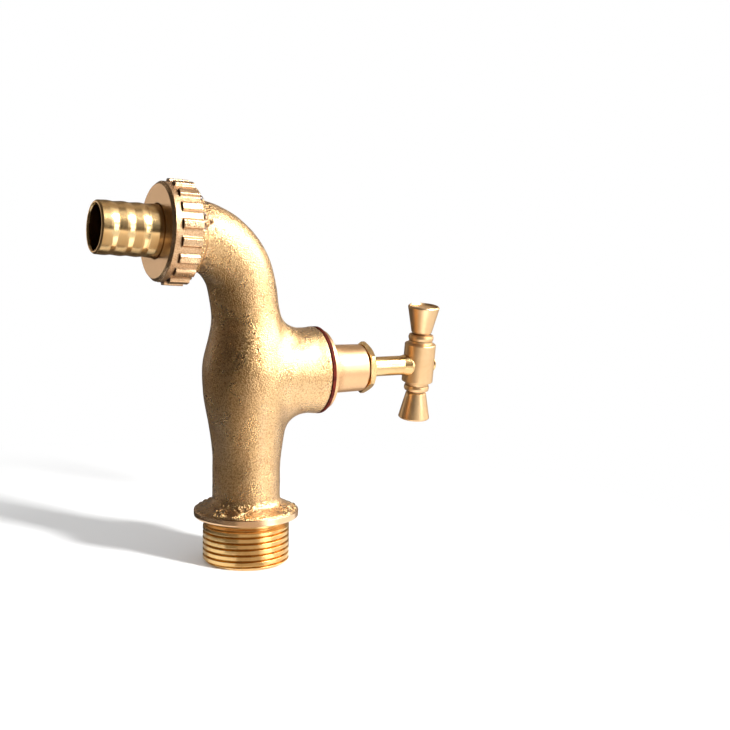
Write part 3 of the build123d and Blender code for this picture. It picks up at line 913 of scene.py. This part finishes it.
def rough_cast(data):
    """Moves each point along its normal by slow waves, grains, crumbs of sand, pits, and a low
    ridge where the two halves of the mould met. Crumbs and pits are what lumps reach above a
    limit. Machined faces and the flange's rim stay as they are."""
    facing = rows(data.vertex_normals, "vector")
    place = rows(data.vertices, "co") / MM
    wide = np.hypot(place[:, 0], place[:, 1])
    cast, on_flange, rim, corner, pocked = cast_zones(place, wide)
    waves = 0.16 * lumps(place, 9.0, 1) + 0.09 * lumps(place, 4.2, 2)
    grains = 0.016 * lumps(place, 1.7, 3) + 0.016 * lumps(place, 1.0, 4)
    patchy = np.clip(0.55 + 0.9 * lumps(place, 4.5, 8), 0, 1)
    crumbs = np.clip(lumps(place, CRUMB_SIZE, CRUMB_SEED) - 0.08, 0, 1) * 1.1 * corner * patchy
    pits = np.clip(lumps(place, 1.35, 9) - 0.34, 0, 1) * 1.3 * np.maximum(pocked, 0.25 * corner)
    broken = 0.65 + 0.35 * lumps(place, 2.6, 6)
    parting = PARTING_HEIGHT * np.exp(-(place[:, 1] / PARTING_WIDTH) ** 2) * broken
    moved = waves * (1 - on_flange) + grains + crumbs - pits + parting
    moved = (moved * (1 - rim) - RIM_SUNK * rim + FLANGE_RAISED * on_flange * (1 - rim)) * cast
    place = place + facing * moved[:, None]
    # The rim of the flange belongs to the turned piece, so the casting stays inside it
    limit = FLANGE_RADIUS - RIM_ROOM
    over = (place[:, 2] < FLANGE_TOP + 0.4) & (wide > limit)
    place[:, :2] *= np.where(over, limit / np.maximum(wide, 1e-6), 1.0)[:, None]
    between = lumps(place, CRUMB_SIZE, CRUMB_SEED) < -0.1
    # Painted shade: darker in the pits and in the gaps between crumbs near the corners
    painted_shade = np.clip(pits * 3.0 + 0.45 * corner * patchy * between, 0, 1) * cast
    gritty = np.clip(corner * patchy * 1.3 + 0.8 * pocked * patchy, 0, 1) * cast * (1 - rim)
    store(data, "painted_shade", painted_shade)
    store(data, "gritty", gritty)
    write_points(data, place)
    data.shade_smooth()
    print("the casting moved by up to", round(float(np.abs(moved).max()), 2), "mm")


rough_cast(casting.data)
dress(casting, body_brass, "tap_body", "cast_brass")

# %% [markdown]
# ## Washer, bonnet and gland screw
#
# The bonnet screws into the boss and squeezes a red fibre ring. Its hexagon was cast, and then
# its outer end was turned to a dome, so the corners fade out. The radius there is the smaller of
# two numbers, the hexagon's and the dome's, with the step between them eased. Cutting one solid
# with the other would leave an edge as sharp as paper there.

# %% The fibre washer
WASHER_START, WASHER_END, WASHER_RADIUS, WASHER_HOLE = BOSS_FACE, 23.5, 13.6, 9.55


def uneven_edge(station, radius, angle):
    """The outside's radius plus small lumps: a punched ring is never quite round."""
    place = np.stack([station, radius * np.cos(angle), radius * np.sin(angle)], -1)
    outside = radius > WASHER_RADIUS - 1
    return radius + np.where(outside, 0.08 * lumps(place, 3.0, 11) - 0.06, 0)


washer_outline = rounded([(WASHER_START, WASHER_HOLE, 0), (WASHER_START, WASHER_RADIUS, 0.2),
                          (WASHER_END, WASHER_RADIUS, 0.2), (WASHER_END, WASHER_HOLE, 0)])
dress(turn_round("fibre_washer", washer_outline, valve_line, uneven_edge), red_fibre,
      "tap_body", "red_fibre", "bonnet_washer")


# %% A hexagon with eased corners
def hexagon(angle, flats, turn, easing):
    """Distance from the axis to a hexagon's side: half the width across flats over the cosine
    of the angle from the nearest flat. Easing lowers the corners a little."""
    sixth = math.pi / 3
    from_flat = (angle - turn + sixth / 2) % sixth - sixth / 2
    sharp = flats / 2 / np.cos(from_flat)
    corner = flats / math.sqrt(3)
    return sharp - easing * np.exp(-((corner - sharp) / (2.2 * easing)))


def smaller(first, second, easing):
    """The smaller of two values, with a soft change between them."""
    gap = np.clip(0.5 + 0.5 * (second - first) / easing, 0, 1)
    return second * (1 - gap) + first * gap - easing * gap * (1 - gap)


# %% The bonnet
BONNET_INNER, BONNET_THREAD = 13.4, 9.5
COLLAR_RADIUS, COLLAR_END, BONNET_END = 12.5, 25.1, 38.8
HEX_FLATS, HEX_TURN, HEX_EASING = 15.4, math.radians(100), 0.18
DOME_BASE, DOME_END, DOME_ROUND, DOME_TAPER, DOME_FALL = 9.3, 7.4, 0.8, 0.25, 1.9
STUFFING_RADIUS, STUFFING_FLOOR, STEM_HOLE, INNER_RADIUS, INNER_END = 5.3, 30.5, 3.17, 5.0, 28.5
FILLET_RISE, FILLET_FALL, DOME_BLEND = 0.7, 0.45, 0.45

dome_share = np.linspace(0, 1, 60)
dome_station = COLLAR_END + (BONNET_END - DOME_ROUND - COLLAR_END) * dome_share
dome_radius = (DOME_END + DOME_TAPER * (1 - dome_share) + (DOME_BASE - DOME_END - DOME_TAPER)
               * np.exp(-((dome_station - COLLAR_END) / DOME_FALL) ** 2))
tip_share = np.linspace(0, 1, 8)[1:] * math.pi / 2
tip_station = BONNET_END - DOME_ROUND + DOME_ROUND * np.sin(tip_share)
tip_radius = DOME_END - DOME_ROUND + DOME_ROUND * np.cos(tip_share)
hidden = rounded([(BONNET_END, STUFFING_RADIUS, 0.1), (STUFFING_FLOOR, STUFFING_RADIUS, 0),
                  (STUFFING_FLOOR, STEM_HOLE, 0), (INNER_END, STEM_HOLE, 0),
                  (INNER_END, INNER_RADIUS, 0), (BONNET_INNER, INNER_RADIUS, 0.1),
                  (BONNET_INNER, BONNET_THREAD, 0.4), (WASHER_END, BONNET_THREAD, 0),
                  (WASHER_END, COLLAR_RADIUS, 0.25), (COLLAR_END, COLLAR_RADIUS, 0.3),
                  (COLLAR_END, 11.2, 0), (COLLAR_END, 10.1, 0), (COLLAR_END, DOME_BASE + 0.6, 0)])
bonnet_outline = np.vstack([hidden, np.column_stack([dome_station, dome_radius]),
                            np.column_stack([tip_station, tip_radius])])


def bonnet_sides(angle):
    """Distance from the axis to the side of the bonnet's hexagon, at that angle."""
    return hexagon(angle, HEX_FLATS, HEX_TURN, HEX_EASING)


def bonnet_radius_at(station, radius, angle):
    """Outside, between the collar and the tip, the smaller of the dome and the hexagon; close to
    the collar both grow a little into a cast fillet. Slow lumps where the skin is still cast."""
    place = valve_line.place(station, radius, angle)
    outside = (station > COLLAR_END - 0.01) & (radius > STUFFING_RADIUS + 0.2) & (radius < 10.0)
    fillet = FILLET_RISE * np.exp((COLLAR_END - station) / FILLET_FALL)
    sides = bonnet_sides(angle) + fillet
    cast = share_between(station, 29.2, 28.2)
    shaped = (smaller(radius + fillet, sides, DOME_BLEND)
              + 0.07 * cast * lumps(place, 1.4, 21))
    return np.where(outside, shaped, radius)


def bonnet_polish(station, radius, angle):
    """0 where the skin is as cast, 1 where the dome was turned."""
    turned = share_between(station, 28.6, 30.2)
    dome = np.interp(station, dome_station, dome_radius)
    on_dome = np.clip((bonnet_sides(angle) - dome) / 0.35 + 0.6, 0, 1)
    collar = (station < COLLAR_END + 0.05) * 0.7
    return np.maximum(turned * on_dome, collar)


bonnet = turn_round("bonnet_body", bonnet_outline, valve_line, bonnet_radius_at, 300,
                    {"polish": bonnet_polish})
dress(bonnet, bonnet_brass, "tap_body", "turned_brass", "bonnet")

# %% The gland screw
GLAND_START, GLAND_SEAT, GLAND_END, GLAND_FLATS, GLAND_THREAD = 35.8, 38.9, 41.1, 14.5, 5.25
GLAND_CORNER, GLAND_EASING, GLAND_BLEND = GLAND_FLATS / math.sqrt(3), 0.10, 0.06
gland_outline = rounded([
    (GLAND_START, STEM_HOLE, 0), (GLAND_START, GLAND_THREAD, 0.1), (GLAND_SEAT, GLAND_THREAD, 0),
    (GLAND_SEAT, GLAND_CORNER - 1.6, 0), (GLAND_SEAT + 0.05, GLAND_CORNER - 0.35, 0.05),
    (GLAND_SEAT + 0.3, GLAND_CORNER + 0.1, 0.05), (GLAND_END - 1.0, GLAND_CORNER + 0.1, 0.05),
    (GLAND_END, GLAND_CORNER - 1.42, 0.15), (GLAND_END, STEM_HOLE + 0.2, 0.05)], 5)


def gland_radius_at(station, radius, angle):
    """The smaller of the turned outline's radius and the hexagon's, on the head alone."""
    head = (station > GLAND_SEAT - 0.001) & (radius > GLAND_THREAD + 0.05)
    sides = hexagon(angle, GLAND_FLATS, 0.0, GLAND_EASING)
    return np.where(head, smaller(radius, sides, GLAND_BLEND), radius)


def densify(outline, spacing):
    """Adds points so that no step along the outline is longer than the spacing."""
    far = length_along(outline)
    count = max(2, int(far[-1] / spacing))
    stations = np.union1d(far, np.linspace(0, far[-1], count))
    return np.column_stack([np.interp(stations, far, outline[:, 0]),
                            np.interp(stations, far, outline[:, 1])])


dress(turn_round("gland_hexagon", densify(gland_outline, 0.12), valve_line, gland_radius_at, 300),
      polished_brass, "tap_body", "polished_brass", "gland_screw")

# %% [markdown]
# ## Spindle and tee handle
#
# The spindle's plain stem shows between the gland and the hub. Its far end is hammered over the
# hub, which leaves a low button. The handle is a turned bar set across it, so both are half
# outlines carried round their own axes, as the lathe did it.

# %% The spindle
SPINDLE_RADIUS, SPINDLE_START, SPINDLE_SHOULDER, SCREW_RADIUS = 3.12, 7.77, 22.07, 4.95
STEM_END, FAR_SIDE, PEEN_RADIUS, PEEN_TIP = 59.36, 65.45, 2.5, 66.0
STEM_FLARE, HOLE_RADIUS, TENON_RADIUS = 56.3, 3.68, 2.2
spindle_outline = rounded([
    (SPINDLE_START, 0, 0), (SPINDLE_START, 4.35, 0.1),
    (SPINDLE_START + 0.6, SCREW_RADIUS, 0.1),
    (SPINDLE_SHOULDER - 0.8, SCREW_RADIUS, 0.1), (SPINDLE_SHOULDER, SPINDLE_RADIUS, 0.1),
    (STEM_FLARE - 2.6, SPINDLE_RADIUS, 0.8), (STEM_FLARE, HOLE_RADIUS, 0.3),
    (STEM_END, HOLE_RADIUS, 0.1), (STEM_END, TENON_RADIUS, 0.1),
    (FAR_SIDE - 0.6, TENON_RADIUS, 0.1),
    (FAR_SIDE, PEEN_RADIUS, 0.2), (FAR_SIDE + 0.3, PEEN_RADIUS - 0.4, 0.3), (PEEN_TIP, 0.8, 0.3),
    (PEEN_TIP, 0, 0)])
dress(turn_round("spindle_stem", spindle_outline, valve_line, None, 96), polished_brass,
      "spindle", "polished_brass", "spindle")

# %% The handle
HUB_RADIUS, HUB_HALF, BAR_HALF = 5.05, 6.3, 18.75
half_bar = [(0, HUB_RADIUS, 0), (HUB_HALF - 0.1, HUB_RADIUS, 0.35), (HUB_HALF + 0.4, 3.85, 0.2),
            (7.6, 3.75, 0.2), (7.62, 3.95, 0.1), (8.4, 4.1, 0.25), (9.18, 3.9, 0.1),
            (9.5, 2.95, 0.2), (9.9, 2.9, 0.15), (10.15, 3.3, 0.15), (BAR_HALF - 0.4, 5.1, 0.25),
            (BAR_HALF, 4.75, 0.15), (BAR_HALF, 4.55, 0.1), (BAR_HALF - 0.6, 4.1, 0.25),
            (BAR_HALF - 0.6, 0, 0)]
other_half = [(-c[0], *c[1:]) for c in half_bar[::-1]]
bar_outline = rounded(half_bar[1:] + other_half[:-1])


def round_stem(station, radius, angle):
    """1 in the narrow gap round the stem, where it enters the hub, else 0."""
    place = bar_line.place(station, radius, angle)
    from_stem = np.hypot(place[..., 1], place[..., 2] - VALVE_HEIGHT)
    near_side = place[..., 0] < HANDLE_REACH
    return np.exp(-((from_stem - HOLE_RADIUS - 0.12) / 0.2) ** 2) * near_side


def hub_radius_at(station, radius, angle):
    """The radius, less 0.2 mm in the gap round the stem, on the hub alone."""
    return radius - 0.2 * round_stem(station, radius, angle) * (radius > 4.5)


def bar_painted_shade(station, radius, angle):
    """Painted shade in the gap round the stem and at the foot of each bead."""
    foot = np.exp(-((np.abs(station) - 9.62) / 0.2) ** 2) + 0.7 * np.exp(
        -((np.abs(station) - 7.45) / 0.15) ** 2)
    return np.maximum(round_stem(station, radius, angle), np.clip(foot, 0, 1) * (radius < 4.2))


# The handle's shade attribute is painted shade in its grooves and round the stem
dress(turn_round("tee_bar", densify(bar_outline, 0.22), bar_line, hub_radius_at, 160,
                 {"painted_shade": bar_painted_shade}), handle_brass, "spindle", "handle_brass", "tee_handle")

# %% [markdown]
# ## The hose union
#
# The nut is cast with 18 ribs to grip, then its front is faced on a lathe. The tail is turned
# from bar: a tube whose shallow barbs rise towards the nut, so that a hose slides on and stays.
# The ribs could be 18 copies of a small block, but a block leaves a hard seam round its foot. As
# a height added to the sleeve's radius, each rib grows out of the casting.

# %% The hose tail
TAIL_START, COLLAR_BACK, TAIL_COLLAR, TAIL_LENGTH = 1.62, 3.42, 11.8, 23.5
TAIL_RADIUS, TAIL_BORE = 7.8, 6.6
BARB_COUNT, BARB_PITCH, BARB_RISE, BARB_DEPTH, CREST_ROUND = 4, 4.7, 2.7, 0.22, 2.6
tail = [(TAIL_START, TAIL_BORE, 0.1), (TAIL_START, TAIL_COLLAR, 0.15),
        (COLLAR_BACK, TAIL_COLLAR, 0.15), (COLLAR_BACK, TAIL_RADIUS, 0.1)]
for number in range(BARB_COUNT):
    mouth_side = TAIL_LENGTH - BARB_PITCH * (BARB_COUNT - 1 - number)
    crest = mouth_side - BARB_RISE
    if crest > COLLAR_BACK + 4.8:
        tail.append((crest - BARB_PITCH + BARB_RISE + 1.3, TAIL_RADIUS, CREST_ROUND))
    tail.append((crest, TAIL_RADIUS, CREST_ROUND))
    tail.append((mouth_side - 0.3, TAIL_RADIUS - BARB_DEPTH, 2.2))
tail[-1] = (TAIL_LENGTH - 0.5, TAIL_RADIUS - BARB_DEPTH / 2, 0.2)
tail += [(TAIL_LENGTH, TAIL_RADIUS - 0.5, 0.15), (TAIL_LENGTH, TAIL_BORE + 0.25, 0.12),
         (TAIL_LENGTH - 0.5, TAIL_BORE, 0.15)]
dress(turn_round("barbed_tail", rounded(tail), outlet_line, None, 192), polished_brass,
      "hose_tail", "polished_brass", "hose_tail")

# %% The union nut
NUT_RADIUS, NUT_FRONT, NUT_BACK, NUT_BAND, NUT_CHAMFER = 14.6, 5.27, -3.73, 2.9, 0.9
NUT_BORE, NUT_HOLE, NUT_WALL = 13.27, 8.1, 1.8
RIB_COUNT, RIB_HEIGHT, RIB_WIDTH, RIB_TOP, FIRST_RIB = 18, 0.9, 3.0, 1.9, math.radians(11.5)
RIB_END, NUT_EDGE = NUT_FRONT - NUT_BAND, NUT_FRONT - NUT_CHAMFER


def from_rib(angle):
    """Distance round the nut from the middle of the nearest rib, in mm."""
    step = 2 * math.pi / RIB_COUNT
    turned = (angle - FIRST_RIB + step / 2) % step - step / 2
    return np.abs(turned) * (NUT_RADIUS + RIB_HEIGHT / 2)


def rib_shape(station, angle):
    """1 on top of a rib, falling to 0 down its sides and over its end."""
    side = (RIB_WIDTH / 2 + 0.1 - from_rib(angle)) / (RIB_WIDTH / 2 - RIB_TOP / 2 + 0.1)
    end = (RIB_END + 0.06 - station) / 0.10
    shape = np.clip(np.minimum(side, end), 0, 1)
    return shape * shape * (3 - 2 * shape) * 0.5 + shape * 0.5


def nut_radius_at(station, radius, angle):
    """The sleeve's radius, plus the rib's height times its shape, plus the casting's lumps."""
    place = outlet_line.place(station, radius, angle)
    sleeve = (radius > NUT_RADIUS - 0.05) & (station < NUT_EDGE + 0.05)
    uneven = 0.05 * lumps(place, 2.2, 31) + 0.03 * lumps(place, 0.9, 32) - 0.08
    return radius + np.where(sleeve, RIB_HEIGHT * rib_shape(station, angle) + uneven, 0)


def nut_polish(station, radius, angle):
    """The tops of the ribs and the turned front are brighter than the cast skin between."""
    ribs = 0.55 * share_between(radius, NUT_RADIUS, NUT_RADIUS + RIB_HEIGHT)
    return np.maximum(ribs, share_between(station, NUT_EDGE, NUT_EDGE + 0.1))


def nut_painted_shade(station, radius, angle):
    """Painted shade in the corners of the casting: at the foot of each rib's end, on the end face,
    and along the feet of its sides."""
    across = from_rib(angle)
    end = (np.exp(-((station - RIB_END - 0.12) / 0.30) ** 2)
           * share_between(across, RIB_WIDTH / 2 + 0.25, RIB_WIDTH / 2 - 0.05))
    on_end = (np.abs(station - RIB_END) < 0.07) * (across < RIB_WIDTH / 2)
    feet = 0.40 * np.exp(-((across - RIB_WIDTH / 2 - 0.15) / 0.22) ** 2) * (station < RIB_END)
    outside = radius > NUT_RADIUS - 0.2
    return np.maximum(np.maximum(end, on_end), feet) * outside


# Columns of the grid lie close together down the sides of each rib, and rows over its end
half_rib = np.array([0.35, 0.75, 0.95, 1.1, 1.25, 1.4, 1.55])
between_ribs = np.array([1.85, 2.25, 2.65, 3.05, 3.45])
columns = np.concatenate([-half_rib, [0], half_rib, between_ribs]) * 0.97
middles = FIRST_RIB + 2 * math.pi / RIB_COUNT * np.arange(RIB_COUNT)
nut_angles = np.sort((middles[:, None] + columns / (NUT_RADIUS + RIB_HEIGHT / 2)).ravel())

over_end = np.array([-0.10, -0.06, -0.04, -0.01, 0.02, 0.05, 0.08, 0.14])
nut_rows = np.concatenate([np.linspace(NUT_BACK + 0.4, RIB_END - 0.15, 18), RIB_END + over_end,
                           np.linspace(RIB_END + 0.3, NUT_EDGE - 0.12, 6)])
nut_corners = rounded([(NUT_EDGE, NUT_RADIUS, 0.12),
                       (NUT_FRONT, NUT_RADIUS - NUT_CHAMFER, 0.12),
                       (NUT_FRONT, NUT_HOLE, 0.15), (NUT_FRONT - NUT_WALL, NUT_HOLE, 0.1),
                       (NUT_FRONT - NUT_WALL, NUT_BORE, 0.1), (NUT_BACK + 0.5, NUT_BORE, 0.1),
                       (NUT_BACK, NUT_BORE + 0.5, 0.1), (NUT_BACK, NUT_RADIUS, 0.25)])
nut_outline = np.vstack([np.column_stack([nut_rows, np.full(len(nut_rows), NUT_RADIUS)]),
                         nut_corners])
# The nut's shade attribute is painted shade at the ends and feet of its ribs
union_nut = turn_round("ribbed_nut", nut_outline, outlet_line, nut_radius_at,
                       extra={"polish": nut_polish, "painted_shade": nut_painted_shade}, angles=nut_angles)
dress(union_nut, nut_brass, "union_nut", "nut_brass", "union_nut")

# %% [markdown]
# ## Pieces that hardly show
#
# The valve, the packing and the union's washer sit inside. Their solids stay as they are and get
# a finish, so that they look right when the union comes off or the valve is looked at. They could
# be made again as the others were, but plain turned rings gain nothing from it.

# %% Finishes for the solids that stay
for node, finish in (("jumper", inner_brass), ("washer_nut", inner_brass),
                     ("packing_washer", inner_brass), ("gland_follower", inner_brass),
                     ("gland_packing", packing), ("valve_washer", rubber),
                     ("union_washer", rubber)):
    nodes[node].data.materials.clear()
    nodes[node].data.materials.append(finish)
    print("finish", finish.name, "on", node)
